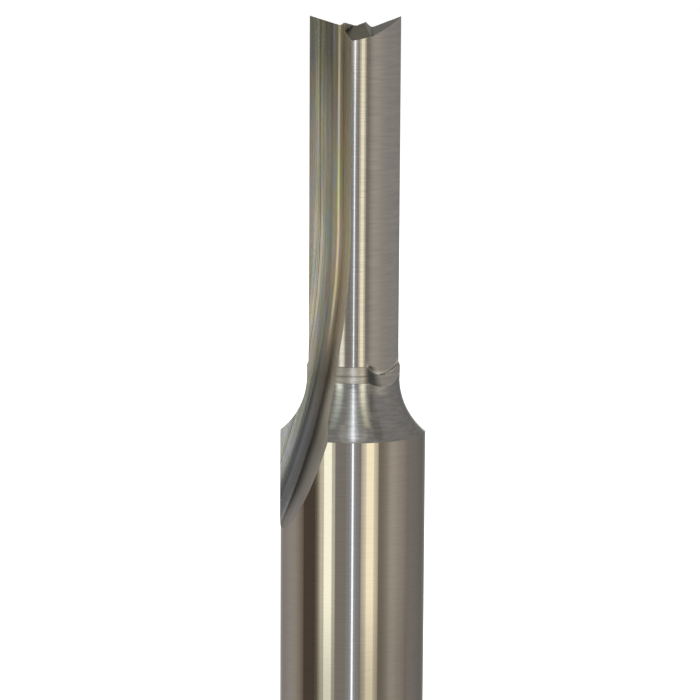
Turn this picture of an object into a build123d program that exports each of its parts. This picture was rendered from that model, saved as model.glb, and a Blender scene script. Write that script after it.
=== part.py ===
from build123d import *
import math
import os

# A two-flute straight router bit, ground from one carbide rod. Lengths are millimetres and
# angles are degrees. The origin is the centre of the shank's end face, and +Z runs along the
# axis to the cutting end. The front tooth cuts on +X and lies on the -Y side. The back tooth
# is its half turn about the axis. Seen from the shank end, the bit turns clockwise.

# Shank, flare and neck
shank_diameter = 12.7
shank_length = 40.3
shank_chamfer = 0.6
flare_radius = 6.0
neck_step = 0.15

# Cutting head
cutting_diameter = 7.8
head_length = 35.9
land_depth = 0.41
land_edge_angle = 18.3
relief_angle = 18.0

# Two stepped run-outs between the ground lands and the neck
lower_band_height = 0.61
upper_band_height = 0.77
band_slope = 21.4
band_step = 0.04
relief_dip = 2.3

# Flutes, each ground by a wheel whose flat side leaves the rake face
web_offset = 1.11
wall_angle = 13.2
flute_fillet = 1.0
flute_wheel_radius = 67.5
flute_straight = 17.7

# Second, finer pass along the cutting edge of each rake face
edge_pass_width = 1.12
edge_pass_depth = 0.06
edge_pass_fillet = 0.3

# End grind: a dished end edge on each tooth, and a gash across the web
front_dish_angle = 21.5
back_dish_angle = 17.6
end_relief_angle = 11.7
front_valley_offset = 1.38
back_valley_offset = 1.25
valley_fillet = 0.3
valley_wall_angle = 29.0
web_depth = 0.8
web_cross_angle = 10.6
web_primary_angle = 5.7
web_secondary_angle = 17.6
gash_offset = 0.21
gash_turn = 36.4


def slope(angle):
    return math.tan(math.radians(angle))


# Sizes that follow from those above
shank_radius = shank_diameter / 2
cutting_radius = cutting_diameter / 2
neck_radius = cutting_radius + neck_step
land_radius = cutting_radius - land_depth
flare_height = math.sqrt(flare_radius**2 - (flare_radius - shank_radius + neck_radius) ** 2)
neck_start = shank_length + flare_height
band_split = neck_start + lower_band_height
land_end = band_split + upper_band_height
tip_height = shank_length + head_length
band_rate = slope(band_slope)
half_turn = Rot(0, 0, 180)

# The edge pass takes a little off the teeth, so the relief is first ground to this radius
rough_radius = cutting_radius + edge_pass_depth * slope(relief_angle)

# Tools that cut right through the rod reach this far past it
past = shank_diameter


def land_edge(growth):
    """Where the round land stops and the relief starts, on a section grown outwards."""
    turn = math.radians(land_edge_angle)
    radius = land_radius + growth
    return radius * math.sin(turn), -radius * math.cos(turn)


def relief_arc(growth):
    """The eccentric relief, from the land's edge to the cutting edge."""
    x, y = land_edge(growth)
    edge = rough_radius + growth
    turn = math.radians(relief_angle)
    chord_squared = (edge - x) ** 2 + y**2
    radius = chord_squared / 2 / ((edge - x) * math.cos(turn) + y * math.sin(turn))
    centre_x = edge - radius * math.cos(turn)
    centre_y = radius * math.sin(turn)
    middle = (math.atan2(y - centre_y, x - centre_x) - turn) / 2
    via = (centre_x + radius * math.cos(middle), centre_y + radius * math.sin(middle))
    return ThreePointArc((x, y), via, (edge, 0))


def cutter_section(growth):
    """The head's outline before fluting: two lands and two reliefs, grown outwards."""
    radius = land_radius + growth
    edge = rough_radius + growth
    diagonal = radius * math.sqrt(0.5)
    front = [
        Line((-edge, 0), (-radius, 0)),
        ThreePointArc((-radius, 0), (-diagonal, -diagonal), land_edge(growth)),
        relief_arc(growth),
    ]
    back = [half_turn * piece for piece in front]
    return make_face(front + back)


def make_blank():
    """The turned rod: chamfered shank, concave flare and the neck up to the tips."""
    flare_turn = math.asin(flare_height / flare_radius) / 2
    flare_via = (
        neck_radius + flare_radius - flare_radius * math.cos(flare_turn),
        neck_start - flare_radius * math.sin(flare_turn),
    )
    outline = [
        Polyline(
            (0, 0),
            (shank_radius - shank_chamfer, 0),
            (shank_radius, shank_chamfer),
            (shank_radius, shank_length),
        ),
        ThreePointArc((shank_radius, shank_length), flare_via, (neck_radius, neck_start)),
        Polyline((neck_radius, neck_start), (neck_radius, tip_height), (0, tip_height), (0, 0)),
    ]
    profile = Plane.XZ * make_face(outline)
    return revolve(profile, Axis.Z)


def band(bottom, top, bottom_growth, top_growth):
    """One sloped run-out, as wide at its top as the pass above it."""
    lower = Pos(0, 0, bottom) * cutter_section(bottom_growth)
    upper = Pos(0, 0, top) * cutter_section(top_growth)
    return loft([lower, upper], ruled=True)


def make_ground_head():
    """What the outside grinding leaves: lands and reliefs, then the two run-outs."""
    split_growth = upper_band_height * band_rate
    rim_growth = split_growth + band_step
    fade = neck_radius - land_radius + land_depth
    fade_depth = (fade - rim_growth) / band_rate
    upper = band(band_split, land_end, split_growth, 0)
    lower = band(band_split - fade_depth, band_split, fade, rim_growth)
    straight = extrude(Pos(0, 0, land_end) * cutter_section(0), head_length)
    rest = Pos(0, 0, (band_split - fade_depth) / 2) * Cylinder(
        shank_diameter, band_split - fade_depth
    )
    return straight + upper + lower + rest


def make_relief_scoop():
    """The rounded lower end of the front relief, which dips below the land's end."""
    x, y = land_edge(0)
    outside = make_face(
        [
            relief_arc(0),
            Polyline((rough_radius, 0), (past, 0), (past, -past), (x, -past), (x, y)),
        ]
    )
    column = extrude(Pos(0, 0, band_split) * outside, 2 * upper_band_height)
    end_x = neck_radius + neck_step
    scoop_top = land_end + upper_band_height
    side = Plane.XZ * make_face(
        [
            ThreePointArc((x, land_end), (relief_dip, band_split), (end_x, scoop_top)),
            Polyline((end_x, scoop_top), (x, scoop_top), (x, land_end)),
        ]
    )
    return column & extrude(side, past)


def wheel_pass(reach, side, fillet_radius, periphery_angle):
    """A grinding wheel run down the head and lifted out through the flare.

    The wheel turns about a line along Y. Its flat side lies on y = side, and its rim comes
    within reach of the axis. The rim leans by periphery_angle towards the axis."""
    lean = past * slope(periphery_angle)
    corner = (-reach, side)
    profile = Polygon(
        corner,
        (-reach - past, side),
        (-reach - past, side - past),
        (-reach + lean, side - past),
        align=None,
    )
    nearest = profile.vertices().sort_by_distance((*corner, 0))[0]
    profile = Pos(0, 0, tip_height - flute_straight) * fillet(nearest, fillet_radius)
    wheel_axis = Axis(
        (-reach - flute_wheel_radius, 0, tip_height - flute_straight), (0, 1, 0)
    )
    return extrude(profile, flute_straight + past) + revolve(profile, wheel_axis)


def make_flute():
    """One flute: the main groove, then the finer pass beside the cutting edge."""
    groove = wheel_pass(web_offset, 0, flute_fillet, wall_angle)
    edge_reach = cutting_radius - edge_pass_width
    edge_pass = wheel_pass(edge_reach, edge_pass_depth, edge_pass_fillet, 0)
    return groove + edge_pass


def make_end_cut(dish_angle, valley_offset):
    """What the wheels take off above the front tooth and its half of the web."""
    dish = slope(dish_angle)
    valley = (valley_offset, tip_height - dish * (cutting_radius - valley_offset))
    ceiling = tip_height + cutting_radius
    inner_x = valley_offset - (ceiling - valley[1]) / slope(valley_wall_angle)
    outer = (cutting_radius + past, tip_height + dish * past)
    side_view = Polygon(
        outer, (cutting_radius + past, ceiling + dish * past), (inner_x, ceiling), valley,
        align=None,
    )
    nearest = side_view.vertices().sort_by_distance((*valley, 0))[0]
    side_view = fillet(nearest, valley_fillet)
    start = cutting_radius / 2
    relief = slope(end_relief_angle)
    sweep = Vector(0, -1, -relief)
    behind = Pos(0, start, relief * (start + edge_pass_depth)) * (Plane.XZ * side_view)
    outer_cut = extrude(behind, sweep.length * past, dir=sweep)

    # The web's two facets share a crest on y = 0 and fall by the same cross slope
    cross = slope(web_cross_angle)
    crest = tip_height - web_depth
    facets = Plane.YZ * Polygon(
        (start, crest + start * slope(web_primary_angle)),
        (0, crest),
        (-past, crest - past * slope(web_secondary_angle)),
        (-past, ceiling),
        (start, ceiling),
        align=None,
    )
    across = Vector(1, 0, cross)
    width = start + valley_offset
    web_cut = extrude(
        Pos(-start, 0, -start * cross) * facets, across.length * width, dir=across
    )
    gash_side = Rot(0, 0, -gash_turn) * Pos(past - gash_offset, 0, tip_height) * Box(
        2 * past, 2 * past, 2 * past
    )
    return outer_cut + (web_cut & gash_side)


def make_router_bit():
    """Every grinding step in turn, each on the front side and on its half turn."""
    bit = make_blank() & make_ground_head()
    scoop = make_relief_scoop()
    flute = make_flute()
    bit = bit - scoop - half_turn * scoop
    bit = bit - flute - half_turn * flute
    bit = bit - make_end_cut(front_dish_angle, front_valley_offset)
    return bit - half_turn * make_end_cut(back_dish_angle, back_valley_offset)


os.makedirs("parts", exist_ok=True)
router_bit = make_router_bit()
router_bit.label = "router_bit"
export_step(router_bit, "parts/router_bit.step")
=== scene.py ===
import math

import bmesh
import bpy
from mathutils import Matrix, Vector


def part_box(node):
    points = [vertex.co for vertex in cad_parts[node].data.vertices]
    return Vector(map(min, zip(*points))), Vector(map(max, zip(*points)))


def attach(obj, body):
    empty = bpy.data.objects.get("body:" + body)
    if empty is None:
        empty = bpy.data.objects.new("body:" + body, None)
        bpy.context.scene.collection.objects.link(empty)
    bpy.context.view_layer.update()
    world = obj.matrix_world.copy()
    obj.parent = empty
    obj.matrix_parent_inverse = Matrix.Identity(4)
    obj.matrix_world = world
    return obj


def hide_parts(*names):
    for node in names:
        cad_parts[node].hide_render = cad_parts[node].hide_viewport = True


# A solid carbide router bit, standing on its shank end. Lengths are metres and angles are
# degrees. Azimuths start at the camera's side, -Y, and grow towards +X, the picture's right.
MM = 0.001

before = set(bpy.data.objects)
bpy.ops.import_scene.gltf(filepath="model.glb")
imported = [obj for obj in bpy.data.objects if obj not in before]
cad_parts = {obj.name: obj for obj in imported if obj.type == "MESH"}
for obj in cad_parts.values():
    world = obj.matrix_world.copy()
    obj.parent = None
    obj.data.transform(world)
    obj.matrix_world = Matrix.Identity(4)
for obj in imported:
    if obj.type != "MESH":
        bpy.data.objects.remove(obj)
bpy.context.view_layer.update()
NODE = "router_bit"
high_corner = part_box(NODE)[1]

# Levels and distances from the axis that tell the ground surfaces apart
TIP = high_corner.z
SHANK_RADIUS = high_corner.x
CHAMFER = 0.6 * MM
FLARE_TOP = 45.02 * MM
BAND_SPLIT = 45.63 * MM
LAND_END = 46.4 * MM
END_GRIND = 2.2 * MM
END_EDGE = 2.5 * MM
RAKE_DEPTH = 0.1 * MM

# The gash's facets stand this upright, and a point this close to a surface lies on it
UPRIGHT = 0.1
CLOSE = 0.02 * MM

# The ground surfaces, as the solid has them. Sections are of the front tooth and its flute
FLARE_RADIUS = 6.0 * MM
NECK_RADIUS = 4.05 * MM
LAND_RADIUS = 3.49 * MM
LAND_EDGE = 18.3
RELIEF_CENTRE = Vector((-1.504, 1.762)) * MM
RELIEF_RADIUS = 5.703 * MM
BAND_SLOPE = 21.4
BAND_STEP = 0.04 * MM
SCOOP_CENTRE = Vector((2.520, 47.304)) * MM
SCOOP_RADIUS = 1.685 * MM
HALF_TURN = Matrix.Rotation(math.pi, 3, "Z")

# The flute wheel goes straight down the head, then out along an arc. Each of its two
# passes has the reach of its rim, the level of its flat side, its rounding and its lean
WHEEL_RADIUS = 67.5 * MM
WHEEL_CENTRE = TIP - 17.7 * MM
MAIN_PASS = (1.11 * MM, 0.0, 1.0 * MM, 13.2)
EDGE_PASS = (2.78 * MM, 0.06 * MM, 0.3 * MM, 0.0)

# Camera
FOCAL_PIXELS = 3015
PICTURE_PIXELS = 700
SENSOR = 36
CLIP_START = 10 * MM
CAMERA_PLACE = Vector((-0.305, -258.5, 87.1)) * MM
CAMERA_PITCH = 8.74
CAMERA_ROLL = 0.335


# Shader helpers

NOISE_DETAIL = 3.0
NOISE_RANGE = (0.3, 0.7)


def new_material(name):
    """An empty material and its node tree."""
    material = bpy.data.materials.new(name)
    material.use_nodes = True
    material.node_tree.nodes.clear()
    return material, material.node_tree


def feed(tree, value, socket):
    """Link a node's output to an input, or set the input to a plain value."""
    if isinstance(value, bpy.types.NodeSocket):
        tree.links.new(value, socket)
    else:
        socket.default_value = value


def add(tree, kind, **values):
    """One node. A value names a property of the node, or else the input of that name."""
    made = tree.nodes.new("ShaderNode" + kind)
    for name, value in values.items():
        if hasattr(made, name):
            setattr(made, name, value)
        else:
            feed(tree, value, made.inputs[name.replace("_", " ")])
    return made


def maths(tree, operation, *values):
    made = add(tree, "Math", operation=operation)
    for value, socket in zip(values, made.inputs):
        feed(tree, value, socket)
    return made.outputs[0]


def product(tree, *values):
    result = values[0]
    for value in values[1:]:
        result = maths(tree, "MULTIPLY", result, value)
    return result


def remap(tree, value, low, high, to_low, to_high):
    """The value's place between low and high, as a value from to_low to to_high."""
    made = add(tree, "MapRange", clamp=True)
    for number, socket in zip((value, low, high, to_low, to_high), made.inputs):
        feed(tree, number, socket)
    return made.outputs[0]


def steps_along(tree, value, steps):
    """A share that changes evenly from step to step. A step is millimetres and a share."""
    result = steps[0][1]
    for (low, share), (high, next_share) in zip(steps, steps[1:]):
        change = remap(tree, value, low * MM, high * MM, 0.0, next_share - share)
        result = maths(tree, "ADD", change, result)
    return result


def position(tree):
    """The point on the object, as three sockets in metres."""
    place = add(tree, "TexCoord").outputs["Object"]
    return add(tree, "SeparateXYZ", Vector=place).outputs


def drawn_noise(tree, point, breadth, height, seed):
    """Smooth noise around 0.5, with features of one breadth and another height."""
    scaled = [
        product(tree, value, 1 / size) for value, size in zip(point, (breadth, breadth, height))
    ]
    place = add(tree, "CombineXYZ", X=scaled[0], Y=scaled[1], Z=scaled[2]).outputs[0]
    made = add(
        tree, "TexNoise", noise_dimensions="4D", Scale=1.0, Detail=NOISE_DETAIL, W=seed,
        Vector=place,
    )
    return made.outputs["Fac"]


def around_one(tree, marks, contrast):
    """Noise as a tone around 1."""
    return remap(tree, marks, *NOISE_RANGE, 1 - contrast, 1 + contrast)


def mix_colour(tree, share, first, second):
    made = add(tree, "Mix", data_type="RGBA", Factor=share, A=first, B=second)
    return made.outputs["Result"]


def scaled_colour(tree, colour, tone):
    scaled = add(tree, "VectorMath", operation="SCALE", Scale=tone)
    feed(tree, colour, scaled.inputs[0])
    return scaled.outputs[0]


# Finishes, one for each kind of ground surface

CARBIDE = (0.172, 0.152, 0.133)
EDGE_TINT = (0.5, 0.5, 0.5, 1.0)

# Painted shade and highlight on the relief: darkest beside the land, where its margin starts,
# and lighter towards the cutting edge
MARGIN_START = LAND_RADIUS * math.sin(math.radians(LAND_EDGE))
RELIEF_SHADE_STEPS = ((0.0, 0.48), (0.3, 0.82), (0.6, 0.94), (1.3, 0.95), (2.6, 1.2))

# A painted highlight brightens the relief's edge along the ledge at its lower end
LEDGE_HIGHLIGHT_STEPS = ((0.12, 2.1), (0.22, 1.25), (0.4, 1.0))

# A shadow widens down the run-outs from the land's edge. Its steps are drops below the
# land's end and half widths, both in millimetres, and its core has the full depth
WEDGE_START = 1.42 * MM
WEDGE_LEAN = 0.14
WEDGE_STEPS = ((-0.12, 0.001), (0.1, 0.5), (1.4, 0.88))
WEDGE_CORE = 0.25
WEDGE_TONE = 0.24

# Painted shade: dark lines where the bands meet each other, the flare and the land
BAND_LEVELS = (BAND_SPLIT, FLARE_TOP, LAND_END)
LINE_REACH = (0.03 * MM, 0.09 * MM)
LINE_TONE = 0.6

# Painted shade and highlight on the flute: how its tone changes along the bit, and across the
# flute below and above the flare
RAKE_ALONG = ((58, 1.0), (73, 0.38), (TIP / MM, 0.36))
RAKE_ACROSS = (
    ((2.1, 0.28), (2.2, 0.36), (2.5, 0.74), (2.8, 0.88)),
    ((1.9, 0.44), (2.4, 0.58), (2.9, 0.92), (3.15, 1.02), (3.4, 0.74), (3.9, 0.69)),
)
CORNER_ALONG = ((38, 1.15), (46, 0.84), (50, 0.88), (56.5, 1.35), (61, 1.15), (72, 0.77))
CORNER_ACROSS = (
    ((1.0, 1.6), (1.3, 1.15), (1.5, 0.74), (1.8, 0.42), (2.1, 0.38)),
    ((1.0, 3.4), (1.6, 1.0), (2.1, 0.74)),
)
WALL_ALONG = (
    (35, 0.32), (38, 0.46), (43, 0.62), (46, 0.62), (49, 0.95), (56.5, 1.3), (72, 0.95),
)
WALL_ACROSS = (((0.9, 0.62), (2.8, 1.0)), ((0.9, 1.28), (2.8, 0.92)))
BLEND_LEVELS = (45 * MM, 49 * MM)

# Breadth and length of the streaks along the flute: two of tone and two of colour
FINE_STREAKS = (0.1 * MM, 9 * MM)
BROAD_STREAKS = (0.4 * MM, 12 * MM)
WARM_STREAKS = (0.3 * MM, 5 * MM)
COOL_STREAKS = (0.22 * MM, 4 * MM)
STREAK_DEPTH = 0.004 * MM

# A painted highlight runs as a line down each flute, and fades out towards the foot
HIGHLIGHT_LINE_WIDTH = 1.36 * MM
HIGHLIGHT_LINE_REACH = (0.04 * MM, 0.13 * MM)
HIGHLIGHT_LINE_LEVELS = (47 * MM, 51 * MM)
HIGHLIGHT_LINE_GAIN = 1.25

# Fine grooves tint the light. The warm streaks go from olive to rose, and cool ones are blue
OLIVE = (1.0, 1.0, 0.7)
ROSE = (1.2, 0.96, 0.9)
BLUE = (0.92, 0.96, 1.25)
WARM_RANGE = (0.44, 0.58)
COOL_RANGE = (0.5, 0.64)
MOST_BLUE = 0.85
# Painted reflection: the flute grows bluer down towards its foot between these levels
FOOT_BLUE_REFLECTION_LEVELS = (40 * MM, 49 * MM)


def metal(tree, colour, roughness, height, depth):
    """A bare metal surface. height is in units of depth."""
    bump = add(tree, "Bump", Strength=1.0, Distance=depth, Height=height)
    shader = add(
        tree, "BsdfPrincipled", Metallic=1.0, Specular_Tint=EDGE_TINT, Base_Color=colour,
        Roughness=roughness, Normal=bump.outputs[0],
    )
    add(tree, "OutputMaterial", Surface=shader.outputs[0])


def past_land(tree, x, y):
    """How far a point lies towards the cutting edge from the middle of its tooth's land."""
    return product(tree, x, maths(tree, "SIGN", y), -1.0)


def painted_relief_shade(tree, x, y, z):
    """The relief's painted shade and highlight, from the land towards the cutting edge."""
    from_land = maths(tree, "SUBTRACT", past_land(tree, x, y), MARGIN_START)
    return steps_along(tree, from_land, RELIEF_SHADE_STEPS)


def wedge(tree, x, y, z):
    """The shadow that widens down the run-outs from the land's edge."""
    drop = maths(tree, "SUBTRACT", LAND_END, z)
    middle = maths(tree, "MULTIPLY_ADD", drop, WEDGE_LEAN, WEDGE_START)
    reach = product(tree, steps_along(tree, drop, WEDGE_STEPS), MM)
    away = maths(tree, "ABSOLUTE", maths(tree, "SUBTRACT", past_land(tree, x, y), middle))
    return remap(tree, maths(tree, "DIVIDE", away, reach), WEDGE_CORE, 1.0, WEDGE_TONE, 1.0)


def painted_ledge_highlight(tree, x, y, z):
    """The relief's painted highlight along the ledge at its lower end."""
    across = maths(tree, "SUBTRACT", past_land(tree, x, y), SCOOP_CENTRE.x)
    down = maths(tree, "MINIMUM", maths(tree, "SUBTRACT", z, SCOOP_CENTRE.y), 0.0)
    squares = maths(tree, "ADD", product(tree, across, across), product(tree, down, down))
    gap = maths(tree, "SUBTRACT", SCOOP_RADIUS, maths(tree, "SQRT", squares))
    return steps_along(tree, gap, LEDGE_HIGHLIGHT_STEPS)


def band_shade_lines(tree, x, y, z):
    """The painted shade of dark lines round the two bands."""
    lines = []
    for level in BAND_LEVELS:
        away = maths(tree, "ABSOLUTE", maths(tree, "SUBTRACT", z, level))
        lines.append(remap(tree, away, *LINE_REACH, LINE_TONE, 1.0))
    return product(tree, *lines)


def ground_finish(name, colour, roughness, marks, depth, seed, shades=()):
    """A surface ground round its axis, with dashes as the wheel leaves them.

    marks holds the dashes' length, height and contrast, and depth is how deep they are.
    Each shade gives one more tone at a point."""
    material, tree = new_material(name)
    point = position(tree)
    length, height, contrast = marks
    dashes = drawn_noise(tree, point, length, height, seed)
    tones = [shade(tree, *point) for shade in shades]
    tone = product(tree, around_one(tree, dashes, contrast), *tones)
    metal(tree, scaled_colour(tree, colour, tone), roughness, dashes, depth)
    return material


def wheel_width(tree, x, z):
    """How far out a point lies on the flute's section, along the wheel's path."""
    below = maths(tree, "MAXIMUM", maths(tree, "SUBTRACT", WHEEL_CENTRE, z), 0.0)
    squares = maths(tree, "SUBTRACT", WHEEL_RADIUS**2, product(tree, below, below))
    lift = maths(tree, "SUBTRACT", WHEEL_RADIUS, maths(tree, "SQRT", squares))
    return maths(tree, "SUBTRACT", maths(tree, "ABSOLUTE", x), lift)


def across_tone(tree, place, z, across):
    """The painted shade and highlight across the flute, blended from its steps at the foot to
    those above.
    """
    low_tone, high_tone = [steps_along(tree, place, steps) for steps in across]
    share = remap(tree, z, *BLEND_LEVELS, 0.0, 1.0)
    change = product(tree, share, maths(tree, "SUBTRACT", high_tone, low_tone))
    return maths(tree, "ADD", low_tone, change)


def painted_highlight_line(tree, width, z):
    """The painted highlight: a brighter tone along a line down the flute."""
    away = maths(tree, "ABSOLUTE", maths(tree, "SUBTRACT", width, HIGHLIGHT_LINE_WIDTH))
    near = remap(tree, away, *HIGHLIGHT_LINE_REACH, 1.0, 0.0)
    gain = product(tree, near, remap(tree, z, *HIGHLIGHT_LINE_LEVELS, 0.0, HIGHLIGHT_LINE_GAIN))
    return maths(tree, "ADD", gain, 1.0)


def tinted(colour, tint):
    return (*[part * share for part, share in zip(colour, tint)], 1.0)


def grating_colour(tree, colour, along_wheel, foot_blue_reflection, seed):
    """The metal's colour with faint rose, olive and blue, as a fine grating splits light, and a
    painted blue reflection that grows towards the foot.
    """
    warm_streaks = drawn_noise(tree, along_wheel, *WARM_STREAKS, seed + 2)
    cool_streaks = drawn_noise(tree, along_wheel, *COOL_STREAKS, seed + 3)
    warmth = remap(tree, warm_streaks, *WARM_RANGE, 0.0, 1.0)
    coolness = maths(
        tree,
        "MAXIMUM",
        remap(tree, cool_streaks, *COOL_RANGE, 0.0, MOST_BLUE),
        remap(tree, along_wheel[2], *FOOT_BLUE_REFLECTION_LEVELS, foot_blue_reflection, 0.0),
    )
    warm = mix_colour(tree, warmth, tinted(colour, OLIVE), tinted(colour, ROSE))
    return mix_colour(tree, coolness, warm, tinted(colour, BLUE))


def flute_finish(name, colour, roughness, along, across, by_depth, contrast, foot_blue_reflection, seed):
    """Grinding streaks that follow the wheel down the flute and out through the shank.

    along holds the steps of the painted shade and highlight along the bit, and across its steps
    over the flute's section, at the foot and above it, by the flute's depth or else by its
    width. The last argument but one is the share of painted blue reflection at the foot."""
    material, tree = new_material(name)
    x, y, z = position(tree)
    width = wheel_width(tree, x, z)
    along_wheel = (width, y, z)
    fine = drawn_noise(tree, along_wheel, *FINE_STREAKS, seed)
    broad = drawn_noise(tree, along_wheel, *BROAD_STREAKS, seed + 1)
    place = maths(tree, "ABSOLUTE", y) if by_depth else width
    tone = product(
        tree,
        around_one(tree, fine, contrast),
        around_one(tree, broad, contrast),
        steps_along(tree, z, along),
        across_tone(tree, place, z, across),
        painted_highlight_line(tree, width, z),
    )
    mixed = grating_colour(tree, colour, along_wheel, foot_blue_reflection, seed)
    metal(tree, scaled_colour(tree, mixed, tone), roughness, fine, STREAK_DEPTH)
    return material


def make_finishes():
    """The materials, each by the name of the surface that it goes on."""
    fine_depth = 0.0006 * MM
    run_out_marks = (2 * MM, 0.16 * MM, 0.16)
    end_marks = (1 * MM, 0.3 * MM, 0.1)
    end_depth = 0.001 * MM
    return {
        "shank": ground_finish(
            "ground_shank", CARBIDE, roughness=0.06,
            marks=(2 * MM, 0.1 * MM, 0.05), depth=0.00015 * MM, seed=1,
        ),
        "flare": ground_finish(
            "ground_flare", (0.166, 0.158, 0.147), roughness=0.13,
            marks=(1.2 * MM, 0.17 * MM, 0.16), depth=0.0008 * MM, seed=2,
        ),
        "band": ground_finish(
            "ground_bands", (0.198, 0.176, 0.153), roughness=0.26,
            marks=run_out_marks, depth=fine_depth, seed=3, shades=(wedge, band_shade_lines),
        ),
        "run_out": ground_finish(
            "relief_run_outs", (0.225, 0.21, 0.187), roughness=0.32,
            marks=run_out_marks, depth=fine_depth, seed=9, shades=(wedge,),
        ),
        # Painted light: the ledge at the relief's end is given a far lighter colour than the
        # carbide round it
        "scoop": ground_finish(
            "lit_relief_end", (0.55, 0.52, 0.47), roughness=0.9,
            marks=run_out_marks, depth=fine_depth, seed=10, shades=(wedge,),
        ),
        "land": ground_finish(
            "polished_land", CARBIDE, roughness=0.08,
            marks=(2 * MM, 0.1 * MM, 0.1), depth=0.0003 * MM, seed=4,
        ),
        "relief": ground_finish(
            "frosted_relief", (0.207, 0.193, 0.174), roughness=0.32,
            marks=(2.5 * MM, 0.22 * MM, 0.1), depth=fine_depth, seed=5,
            shades=(painted_relief_shade, wedge, painted_ledge_highlight),
        ),
        "rake": flute_finish(
            "ground_rake", (0.17, 0.161, 0.127), roughness=0.26,
            along=RAKE_ALONG, across=RAKE_ACROSS, by_depth=False,
            contrast=0.24, foot_blue_reflection=0.5, seed=6,
        ),
        "corner": flute_finish(
            "ground_corner", (0.112, 0.107, 0.088), roughness=0.5,
            along=CORNER_ALONG, across=CORNER_ACROSS, by_depth=False,
            contrast=0.16, foot_blue_reflection=0.95, seed=16,
        ),
        # Painted light: the wall has the ground finish, but a carbide colour about three times
        # lighter, where light from the left falls on it
        "wall": flute_finish(
            "lit_wall", (0.51, 0.492, 0.432), roughness=0.38,
            along=WALL_ALONG, across=WALL_ACROSS, by_depth=True,
            contrast=0.14, foot_blue_reflection=0.35, seed=26,
        ),
        "end": ground_finish(
            "ground_end", (0.056, 0.051, 0.04), roughness=0.4,
            marks=end_marks, depth=end_depth, seed=7,
        ),
        # Painted shade: the outer end facets are a darker copy of the end's finish
        "end_edge": ground_finish(
            "shaded_end_edge", (0.038, 0.0345, 0.027), roughness=0.4,
            marks=end_marks, depth=end_depth, seed=7,
        ),
        # Painted light: the gash is a lighter copy of the end's finish
        "gash": ground_finish(
            "lit_gash", (0.3, 0.28, 0.24), roughness=0.5,
            marks=end_marks, depth=end_depth, seed=7,
        ),
        "foot": ground_finish(
            "faced_end", CARBIDE, roughness=0.25,
            marks=(2 * MM, 0.3 * MM, 0.06), depth=fine_depth, seed=8,
        ),
    }


# The bit

def connected_patches(mesh):
    """The mesh's faces in groups, one for each ground surface, which meet at split edges."""
    work = bmesh.new()
    work.from_mesh(mesh)
    work.faces.ensure_lookup_table()
    left = set(range(len(work.faces)))
    patches = []
    while left:
        front = [left.pop()]
        patch = []
        while front:
            index = front.pop()
            patch.append(index)
            for vertex in work.faces[index].verts:
                for face in vertex.link_faces:
                    if face.index in left:
                        left.remove(face.index)
                        front.append(face.index)
        patches.append(sorted(patch))
    work.free()
    return patches


# Each ground surface is a function that gives a point's gap to it and its normal there

def round_wall(radius):
    """A cylinder about the axis."""
    def surface(point):
        flat = Vector((point.x, point.y, 0))
        return abs(flat.length - radius), flat.normalized()
    return surface


def flare(point):
    """The concave ring between the shank and the neck."""
    flat = Vector((point.x, point.y, 0)).normalized()
    centre = flat * (NECK_RADIUS + FLARE_RADIUS) + Vector((0, 0, FLARE_TOP))
    towards = centre - point
    return abs(towards.length - FLARE_RADIUS), towards.normalized()


def relief(point):
    """The front tooth's eccentric relief."""
    away = point.xy - RELIEF_CENTRE
    return abs(away.length - RELIEF_RADIUS), away.normalized().to_3d()


def land_run_out(step):
    """One of the two sloped steps below the land, each wider than the one above it."""
    rate = math.tan(math.radians(BAND_SLOPE))

    def surface(point):
        radius = LAND_RADIUS + (LAND_END - point.z) * rate + step
        tilted = point.xy.normalized().to_3d() + Vector((0, 0, rate))
        return abs(point.xy.length - radius), tilted.normalized()

    return surface


def scoop(point):
    """The ledge round the relief's lower end, an arc seen from the side."""
    towards = SCOOP_CENTRE - Vector((point.x, point.z))
    return abs(towards.length - SCOOP_RADIUS), Vector((towards.x, 0, towards.y)).normalized()


def wheel_walls(reach, side, rounding, lean):
    """The rounding and the rim wall that one pass of the wheel leaves."""
    turn = math.radians(lean)
    wall_normal = Vector((-math.cos(turn), -math.sin(turn)))
    corner = Vector((-reach, side))
    centre = corner - rounding * Vector(((1 - math.sin(turn)) / math.cos(turn), 1))
    axis_x = -reach - WHEEL_RADIUS

    def section(point):
        arm = Vector((point.x - axis_x, min(point.z - WHEEL_CENTRE, 0)))
        return Vector((axis_x + arm.length, point.y)), arm.normalized()

    def solid_normal(flat, arm):
        return Vector((flat.x * arm.x, flat.y, flat.x * arm.y))

    def rounded(point):
        place, arm = section(point)
        towards = centre - place
        return abs(towards.length - rounding), solid_normal(towards.normalized(), arm)

    def wall(point):
        place, arm = section(point)
        return abs((place - corner).dot(wall_normal)), solid_normal(wall_normal, arm)

    return rounded, wall


def half_turned(surface):
    """The same surface on the back tooth."""
    def turned(point):
        gap, normal = surface(HALF_TURN @ point)
        return gap, HALF_TURN @ normal
    return turned


MAIN_CORNER, MAIN_WALL = wheel_walls(*MAIN_PASS)
EDGE_CORNER, EDGE_WALL = wheel_walls(*EDGE_PASS)
ONE_SIDE = (
    ("relief", relief),
    ("scoop", scoop),
    ("corner", MAIN_CORNER),
    ("wall", MAIN_WALL),
    ("rake", EDGE_CORNER),
    ("rake", EDGE_WALL),
)
SURFACES = (
    ("shank", round_wall(SHANK_RADIUS)),
    ("band", round_wall(NECK_RADIUS)),
    ("land", round_wall(LAND_RADIUS)),
    ("band", land_run_out(0.0)),
    ("band", land_run_out(BAND_STEP)),
    ("flare", flare),
    *ONE_SIDE,
    *[(name, half_turned(surface)) for name, surface in ONE_SIDE],
)


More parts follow.
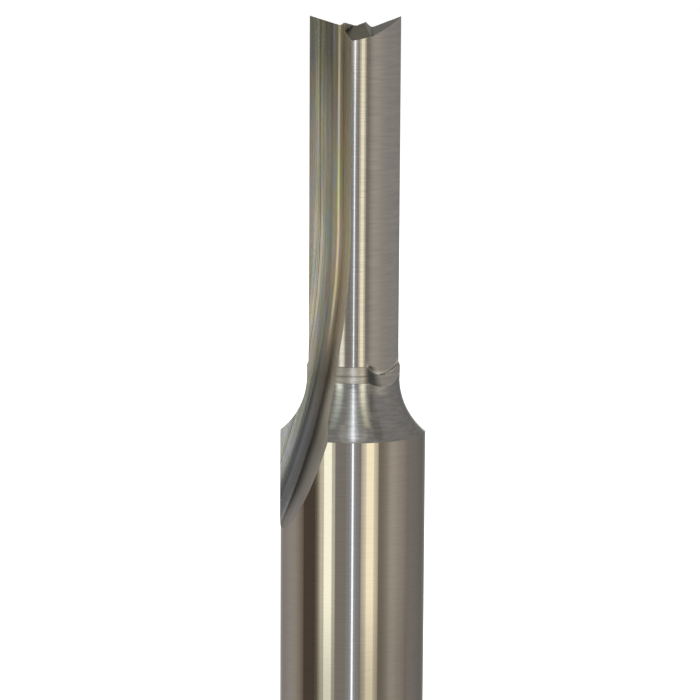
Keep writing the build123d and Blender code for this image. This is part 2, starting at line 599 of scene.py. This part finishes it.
def surface_of(points):
    """The name and shape of the curved ground surface that a patch lies on, if any."""
    levels = [point.z for point in points]
    if max(levels) - min(levels) > CLOSE:
        for name, surface in SURFACES:
            if max(surface(point)[0] for point in points) < CLOSE:
                return name, surface
    return None, None


def finish_of(points, normal, name):
    """Which finish a patch has, from where it lies and from its curved surface's name."""
    if max(point.z for point in points) < CHAMFER + CLOSE:
        return "foot"
    if min(point.z for point in points) > TIP - END_GRIND:
        if max(abs(point.x) for point in points) > END_EDGE:
            return "end_edge"
        return "gash" if abs(normal.z) < UPRIGHT else "end"
    if name is not None:
        return name
    if max(abs(point.y) for point in points) < RAKE_DEPTH:
        return "rake"
    return "run_out"


def dress(mesh, finishes):
    """Give each patch its finish, and shade the curved ones as their true surfaces."""
    order = list(finishes)
    for name in order:
        mesh.materials.append(finishes[name])
    normals = [corner.vector.copy() for corner in mesh.corner_normals]
    for patch in connected_patches(mesh):
        corners = [c for face in patch for c in mesh.polygons[face].loop_indices]
        points = [mesh.vertices[mesh.loops[c].vertex_index].co for c in corners]
        name, surface = surface_of(points)
        index = order.index(finish_of(points, mesh.polygons[patch[0]].normal, name))
        for face in patch:
            mesh.polygons[face].material_index = index
        if surface is not None:
            for corner, point in zip(corners, points):
                normals[corner] = surface(point)[1]
    mesh.normals_split_custom_set(normals)


def make_bit():
    """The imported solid's own surface, with one material for each finish."""
    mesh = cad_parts[NODE].data.copy()
    mesh.name = "ground_bit"
    mesh.materials.clear()
    dress(mesh, make_finishes())
    bit = bpy.data.objects.new("ground_bit", mesh)
    bpy.context.scene.collection.objects.link(bit)
    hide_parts(NODE)
    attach(bit, "root")


# Studio: white floor and world, and a tent of light cards that only reflections see

TENT_RADIUS = 0.5
TENT_CENTRE = Vector((0, 0, 0.03))
CARD_STEP = 6
CARD_GAP = 0.002

# The shank mirrors the cards below LOW_CARDS. The head and the flare mirror those that
# start there or higher, which spread as they rise
LOW_CARDS = -8
SHANK_SIDE = (-60, LOW_CARDS)
HEAD_SIDE = (LOW_CARDS, 60)
WHOLE_SIDE = (-60, 60)
LOW_LINE = (-60, 1)
HIGH_LINE = (1, 89)
SOFT_TOP = 8
SPREAD = 0.85

# Heights between which a card's light grows from its share at the foot, then falls to its
# share at the top. One that falls there at all falls again up to its end
FOOT_LEVELS = (-0.111, -0.0905)
TOP_LEVELS = (0.015, 0.05)
END_LEVELS = (0.1, 0.46)
END_SHARE = 0.45
EVEN = (1.0, 1.0)

# Name, azimuths, elevations, shares of light at the foot and at the top, and the light's
# colours from one side to the other. Later rows lie behind earlier ones
CARDS = (
    ("left_key", (-39, -28), HEAD_SIDE, (1.0, 0.66), [(4.1, 4.5, 4.2)]),
    ("left_key_sides", (-43, -24), HEAD_SIDE, (1.0, 0.8), [(2.4, 2.6, 2.3)]),
    ("right_key", (17.5, 27), HEAD_SIDE, (1.0, 0.95), [(4.6, 4.6, 3.85)]),
    ("right_key_sides", (13, 31.5), HEAD_SIDE, (1.0, 0.9), [(2.6, 2.65, 2.25)]),
    ("left_low_key", (-45.7, -32.8), SHANK_SIDE, (0.66, 1.0), [(5.45, 5.85, 5.15)]),
    (
        "left_low_key_rim", (-60.0, -45.7), SHANK_SIDE, (0.7, 1.0),
        [(0.35, 0.29, 0.24), (1.25, 1.22, 0.98), (2.9, 2.95, 2.55), (2.75, 2.85, 2.45)],
    ),
    ("left_low_key_inner", (-32.8, -27.5), SHANK_SIDE, (0.66, 1.0), [(2.6, 2.75, 2.4)]),
    ("right_low_key", (21.5, 33.0), SHANK_SIDE, (0.66, 1.0), [(5.3, 5.15, 4.1)]),
    (
        "right_low_key_inner", (12.9, 21.5), SHANK_SIDE, (0.66, 1.0),
        [(2.0, 2.0, 1.75), (3.8, 3.75, 3.2)],
    ),
    (
        "right_low_key_rim", (33.0, 40.6), SHANK_SIDE, (0.66, 1.0),
        [(3.8, 3.7, 3.0), (2.2, 2.2, 1.8)],
    ),
    ("line", (-1.4, 1.4), LOW_LINE, EVEN, [(6.2, 7.0, 8.2)]),
    ("line_sides", (-5.0, 5.0), LOW_LINE, EVEN, [(1.45, 1.65, 1.9)]),
    ("line_glow", (-10.0, 10.0), LOW_LINE, EVEN, [(1.15, 1.25, 1.32)]),
    ("upper_line", (-2.2, 2.2), HIGH_LINE, EVEN, [(5.9, 6.4, 7.0)]),
    ("upper_line_sides", (-7.0, 7.0), HIGH_LINE, EVEN, [(2.2, 2.35, 2.5)]),
    ("upper_line_glow", (-13.0, 13.0), HIGH_LINE, EVEN, [(1.3, 1.35, 1.35)]),
    ("top_glow", (-20.0, 20.0), (57, 89), EVEN, [(1.5, 1.48, 1.4)]),
    (
        "right_top_flag", (31, 49), (46, 70), EVEN,
        [(0.8, 0.77, 0.7), (0.1, 0.1, 0.1), (0.7, 0.68, 0.65)],
    ),
    (
        "right_upper_flag", (36, 50), (SOFT_TOP, 46), EVEN,
        [(0.9, 0.87, 0.8), (0.5, 0.47, 0.42), (0.85, 0.83, 0.8)],
    ),
    ("left_flag", (-83, -60.5), WHOLE_SIDE, EVEN, [(0.35, 0.29, 0.24)]),
    (
        "left_edge", (-112, -83), WHOLE_SIDE, EVEN,
        [(1.5, 1.5, 1.45), (1.45, 1.4, 1.3), (1.1, 1.03, 0.94), (0.62, 0.54, 0.46)],
    ),
    (
        "right_soft", (41, 97), (-60, SOFT_TOP), (0.86, 1.0),
        [
            (0.88, 0.82, 0.7), (0.95, 0.9, 0.77), (1.24, 1.2, 1.06), (1.68, 1.68, 1.56),
            (1.72, 1.7, 1.58), (1.52, 1.46, 1.36), (1.38, 1.32, 1.26), (1.18, 1.15, 1.1),
            (0.95, 0.95, 0.95),
        ],
    ),
    ("right_far", (97, 150), WHOLE_SIDE, EVEN, [(0.95, 0.95, 0.95)]),
    ("right_strip", (163, 175), WHOLE_SIDE, EVEN, [(3.0, 3.0, 2.8)]),
    ("left_strip", (-175, -163), WHOLE_SIDE, EVEN, [(3.0, 3.0, 2.8)]),
    ("left_far", (-163, -112), WHOLE_SIDE, EVEN, [(1.5, 1.5, 1.5)]),
)

# The floor and the world look white to the camera and in mirrors, and light the bit softly
FLOOR_SIZE = 12.0
FLOOR_COLOUR = (0.85, 0.85, 0.85, 1.0)
FLOOR_GLOW = 0.55
WORLD_COLOUR = (0.9, 0.9, 0.9, 1.0)
WORLD_LIGHT = 0.6
WHITE = (1.0, 1.0, 1.0, 1.0)

# Name, azimuth, elevation, distance, size and power
LAMPS = (
    ("overhead", -40, 62, 0.5, 0.35, 3.0),
    ("fill", 120, 50, 0.6, 0.4, 1.5),
)


def direction(azimuth, elevation):
    turn = math.radians(azimuth)
    lift = math.radians(elevation)
    return Vector(
        (math.sin(turn) * math.cos(lift), -math.cos(turn) * math.cos(lift), math.sin(lift))
    )


def evenly(ends, count):
    """The values that part a range into count equal steps."""
    low, high = ends
    return [low + (high - low) * n / count for n in range(count + 1)]


def card_lines(ends):
    """The azimuths or elevations of a card's rows of points."""
    return evenly(ends, math.ceil((ends[1] - ends[0]) / CARD_STEP))


def card_material(name, azimuths, shares, lights):
    """Light that blends from one colour to the next across the card."""
    material, tree = new_material(name)
    x, y, z = position(tree)
    turn = maths(tree, "ARCTAN2", x, maths(tree, "MULTIPLY", y, -1.0))
    strength = max(max(light) for light in lights)
    colours = [(*[part / strength for part in light], 1.0) for light in lights]
    turns = evenly([math.radians(azimuth) for azimuth in azimuths], max(1, len(lights) - 1))
    colour = colours[0]
    for low, high, next_colour in zip(turns, turns[1:], colours[1:]):
        share = remap(tree, turn, low, high, 0.0, 1.0)
        colour = mix_colour(tree, share, colour, next_colour)
    foot_share, top_share = shares
    level = product(
        tree,
        remap(tree, z, *FOOT_LEVELS, foot_share, 1.0),
        remap(tree, z, *TOP_LEVELS, 1.0, top_share),
        strength,
    )
    if top_share < 1.0:
        level = product(tree, level, remap(tree, z, *END_LEVELS, 1.0, END_SHARE))
    glow = add(tree, "Emission", Color=colour, Strength=level)
    add(tree, "OutputMaterial", Surface=glow.outputs[0])
    material.cycles.emission_sampling = "NONE"
    return material


def make_card(name, azimuths, elevations, radius, material):
    """Part of a sphere round the bit, seen only in reflections. Upper cards spread out."""
    mesh = bpy.data.meshes.new(name)
    work = bmesh.new()
    rows = []
    for elevation in card_lines(elevations):
        spread = 1.0
        if elevations[0] >= LOW_CARDS and elevation > 0:
            spread = math.cos(math.radians(elevation)) ** -SPREAD
        places = [direction(azimuth * spread, elevation) for azimuth in card_lines(azimuths)]
        rows.append([work.verts.new(TENT_CENTRE + radius * place) for place in places])
    for lower, upper in zip(rows, rows[1:]):
        for corners in zip(lower, lower[1:], upper[1:], upper):
            work.faces.new(corners)
    work.to_mesh(mesh)
    work.free()
    mesh.materials.append(material)
    card = bpy.data.objects.new(name, mesh)
    bpy.context.scene.collection.objects.link(card)
    card.visible_camera = False
    card.visible_diffuse = False
    card.visible_shadow = False


def make_tent():
    """The cards, each a little farther out than the one before it."""
    for number, (name, azimuths, elevations, shares, lights) in enumerate(CARDS):
        material = card_material(name, azimuths, shares, lights)
        make_card(name, azimuths, elevations, TENT_RADIUS + CARD_GAP * number, material)


def seen_or_mirrored(tree):
    """1 for rays from the camera, a mirror or glass, and 0 for those that only carry light."""
    path = add(tree, "LightPath").outputs
    seen = maths(tree, "MAXIMUM", path["Is Camera Ray"], path["Is Glossy Ray"])
    return maths(tree, "MAXIMUM", seen, path["Is Transmission Ray"])


def make_floor():
    """A white floor that keeps the bit's shadow."""
    material, tree = new_material("white_floor")
    diffuse = add(tree, "BsdfDiffuse", Color=FLOOR_COLOUR)
    strength = maths(tree, "MULTIPLY", seen_or_mirrored(tree), FLOOR_GLOW)
    glow = add(tree, "Emission", Strength=strength)
    both = add(tree, "AddShader")
    tree.links.new(diffuse.outputs[0], both.inputs[0])
    tree.links.new(glow.outputs[0], both.inputs[1])
    add(tree, "OutputMaterial", Surface=both.outputs[0])
    mesh = bpy.data.meshes.new("floor")
    half = FLOOR_SIZE / 2
    corners = [(-half, -half, 0), (half, -half, 0), (half, half, 0), (-half, half, 0)]
    mesh.from_pydata(corners, [], [(0, 1, 2, 3)])
    mesh.materials.append(material)
    floor = bpy.data.objects.new("floor", mesh)
    bpy.context.scene.collection.objects.link(floor)
    floor.visible_glossy = False


def make_world():
    """Grey light on the bit, and white behind it."""
    world = bpy.data.worlds.new("studio")
    bpy.context.scene.world = world
    world.use_nodes = True
    tree = world.node_tree
    tree.nodes.clear()
    plain = add(tree, "Background", Color=WORLD_COLOUR, Strength=WORLD_LIGHT)
    white = add(tree, "Background", Color=WHITE, Strength=1.0)
    mix = add(tree, "MixShader")
    tree.links.new(seen_or_mirrored(tree), mix.inputs[0])
    tree.links.new(plain.outputs[0], mix.inputs[1])
    tree.links.new(white.outputs[0], mix.inputs[2])
    add(tree, "OutputWorld", Surface=mix.outputs[0])


def make_lamp(name, azimuth, elevation, distance, size, power):
    """A square lamp that faces the bit and shows in no reflection."""
    data = bpy.data.lights.new(name, "AREA")
    data.shape = "SQUARE"
    data.size = size
    data.energy = power
    lamp = bpy.data.objects.new(name, data)
    bpy.context.scene.collection.objects.link(lamp)
    back = direction(azimuth, elevation)
    lamp.location = TENT_CENTRE + distance * back
    lamp.rotation_mode = "QUATERNION"
    lamp.rotation_quaternion = back.to_track_quat("Z", "Y")
    lamp.visible_glossy = False
    lamp.visible_camera = False


def make_camera():
    data = bpy.data.cameras.new("camera")
    data.sensor_width = SENSOR
    data.lens = FOCAL_PIXELS / PICTURE_PIXELS * SENSOR
    data.clip_start = CLIP_START
    camera = bpy.data.objects.new("camera", data)
    bpy.context.scene.collection.objects.link(camera)
    camera.matrix_world = (
        Matrix.Translation(CAMERA_PLACE)
        @ Matrix.Rotation(math.radians(90 - CAMERA_PITCH), 4, "X")
        @ Matrix.Rotation(math.radians(CAMERA_ROLL), 4, "Z")
    )
    bpy.context.scene.camera = camera


make_camera()
make_bit()
make_tent()
make_floor()
make_world()
for lamp_row in LAMPS:
    make_lamp(*lamp_row)
bpy.context.scene.view_settings.view_transform = "Standard"
